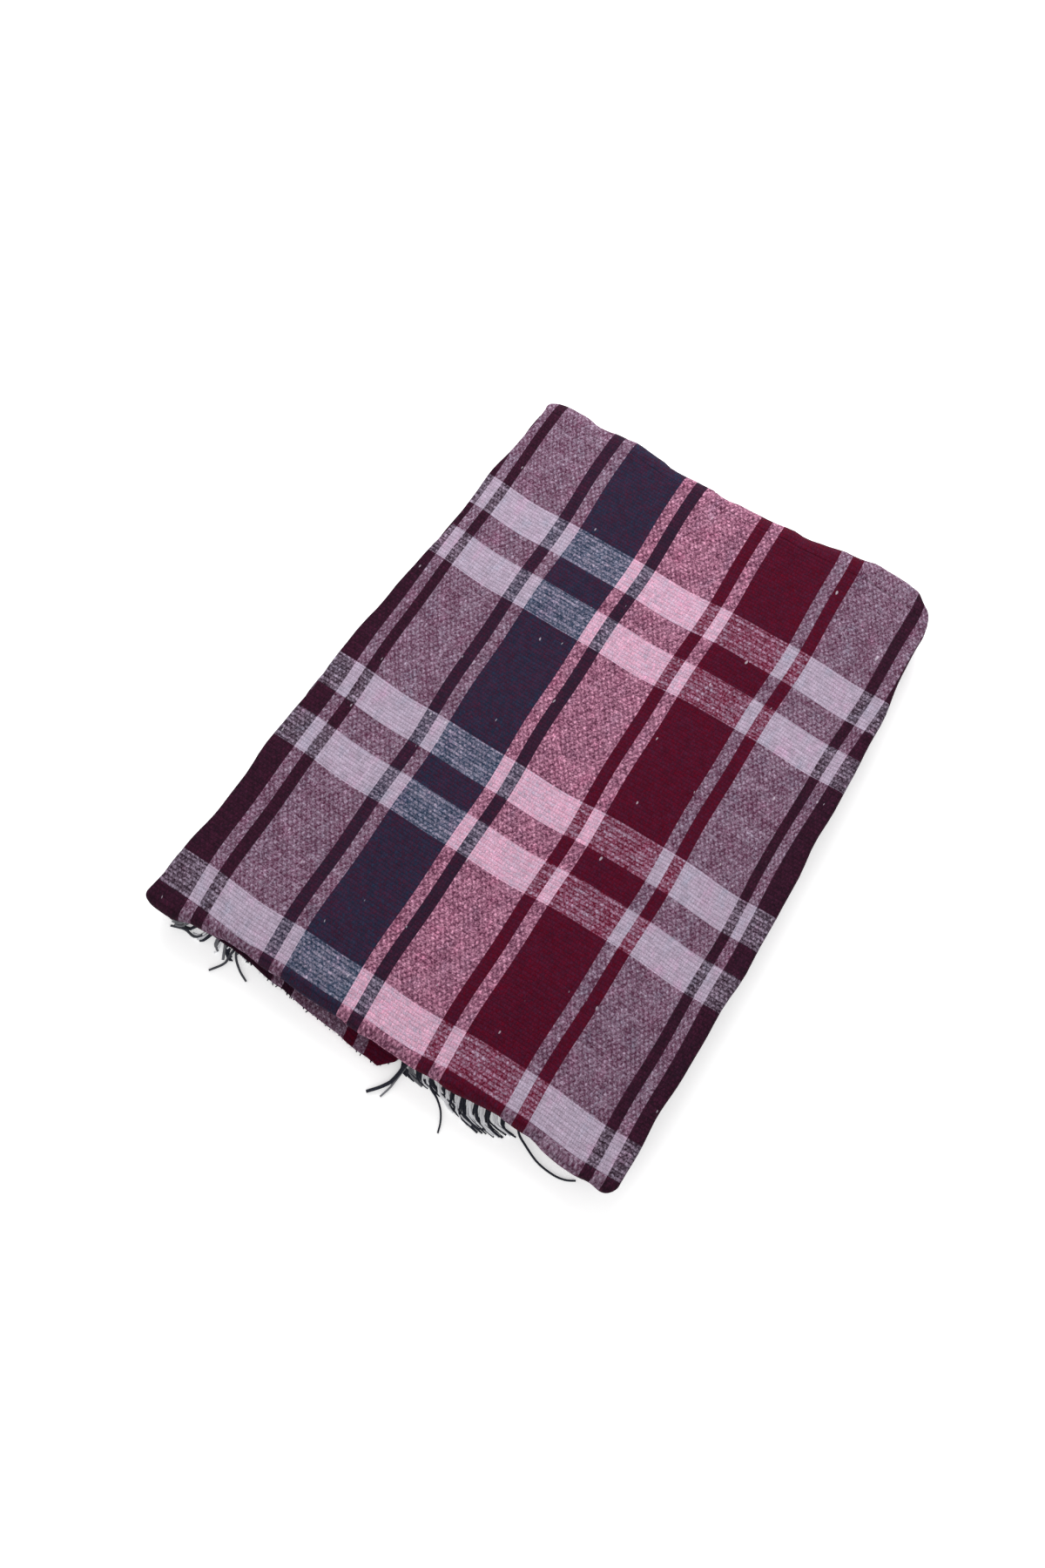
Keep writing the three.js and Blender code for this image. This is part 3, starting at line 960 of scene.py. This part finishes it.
def row_end(x, row, random):
    """A short loose end at x on a row of fringe, which has fallen a little."""
    root = np.array([x, np.interp(x, row[:, 0], row[:, 1]) + MM, np.interp(x, row[:, 0], row[:, 2])])
    slipped = root[1] < FRINGED_Y - SLIPPED_BEYOND
    length = random.uniform(*(SLIPPED_ENDS if slipped else SHORT_ENDS)) * MM
    swing = length * random.uniform(-ROW_SWING, ROW_SWING)
    low = max(root[2] - 0.3 * length, YARN_RADIUS)
    middle = (x + 0.3 * swing, root[1] - 0.5 * length, 0.6 * root[2] + 0.4 * low)
    return strand([root, middle, (x + swing, root[1] - length, low)], 4)


def panel_fringe(leaf, panel, random):
    """One row of yarn ends along one panel's fringed end."""
    first, last = ACROSS["ranges"][panel]
    row = np.array([edge_point(leaf, k) for k in range(first, last + 1)])
    row = row[np.argsort(row[:, 0])]
    paths, tints, radii = front_fringe(random) if (leaf, panel) == FRONT_ROW else ([], [], [])
    for x in np.arange(row[0, 0] + MM, row[-1, 0] - MM, FRINGE_SPACING):
        paths.append(row_end(x, row, random))
        tints.append(random.choice([DARK, DARK, PALE]))
        radii.append(YARN_RADIUS * random.uniform(*ROW_RADII))
    piece = yarn_mesh(f"fringe_{leaf}_{panel}", paths, tints, radii)
    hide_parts(f"{leaf}_{panel}_fringe")
    return piece


FRONT_ROW = ("leaf_1", "panel_1")
FRINGE_SEED = 7


def make_fringe():
    random = np.random.RandomState(FRINGE_SEED)
    panels = ["panel_1", "panel_2", "panel_3", "panel_4"]
    return {leaf: [panel_fringe(leaf, panel, random) for panel in panels] for leaf in ("leaf_1", "leaf_2")}


CLOTH = make_cloth()
FRINGE = make_fringe()

# ---------------------------------------------------------------- floor and light

FLOOR_SIZE = 12.0
FLOOR_BELOW = 0.2 * MM
FLOOR_COLOUR = (0.93, 0.93, 0.93, 1)
FLOOR_ROUGHNESS = 0.9
FLOOR_SPECULAR = 0.1
FLOOR_GLOW = 0.32  # keeps the shadow on the white table faint
SURROUND = 0.75
# The lamps: place, width and height, and watts
WINDOW = ((-0.5, 0.9, 0.8), (1.0, 0.8), 17)
FILL = ((0.9, -0.6, 1.6), (1.2, 1.2), 3)


def make_floor():
    bpy.ops.object.select_all(action="DESELECT")
    bpy.ops.mesh.primitive_plane_add(size=FLOOR_SIZE, location=(0, 0, -FLOOR_BELOW))
    floor = bpy.context.object
    floor.name = "floor"
    material = bpy.data.materials.new("floor")
    material.use_nodes = True
    shader = material.node_tree.nodes["Principled BSDF"]
    shader.inputs["Base Color"].default_value = FLOOR_COLOUR
    shader.inputs["Roughness"].default_value = FLOOR_ROUGHNESS
    shader.inputs["Specular IOR Level"].default_value = FLOOR_SPECULAR
    shader.inputs["Emission Color"].default_value = WHITE
    shader.inputs["Emission Strength"].default_value = FLOOR_GLOW
    floor.data.materials.append(material)


def make_softbox(name, place, size, watts):
    data = bpy.data.lights.new(name, "AREA")
    data.shape = "RECTANGLE"
    data.size, data.size_y = size
    data.energy = watts
    lamp = bpy.data.objects.new(name, data)
    bpy.context.scene.collection.objects.link(lamp)
    lamp.location = place
    lamp.rotation_mode = "QUATERNION"
    lamp.rotation_quaternion = (-Vector(place)).to_track_quat("-Z", "Y")


def make_light():
    world = bpy.data.worlds.new("studio")
    world.use_nodes = True
    background = world.node_tree.nodes["Background"]
    background.inputs["Color"].default_value = WHITE
    background.inputs["Strength"].default_value = SURROUND
    bpy.context.scene.world = world
    make_softbox("window_side", *WINDOW)
    make_softbox("fill_side", *FILL)
    bpy.context.scene.view_settings.view_transform = "Standard"


make_floor()
make_light()
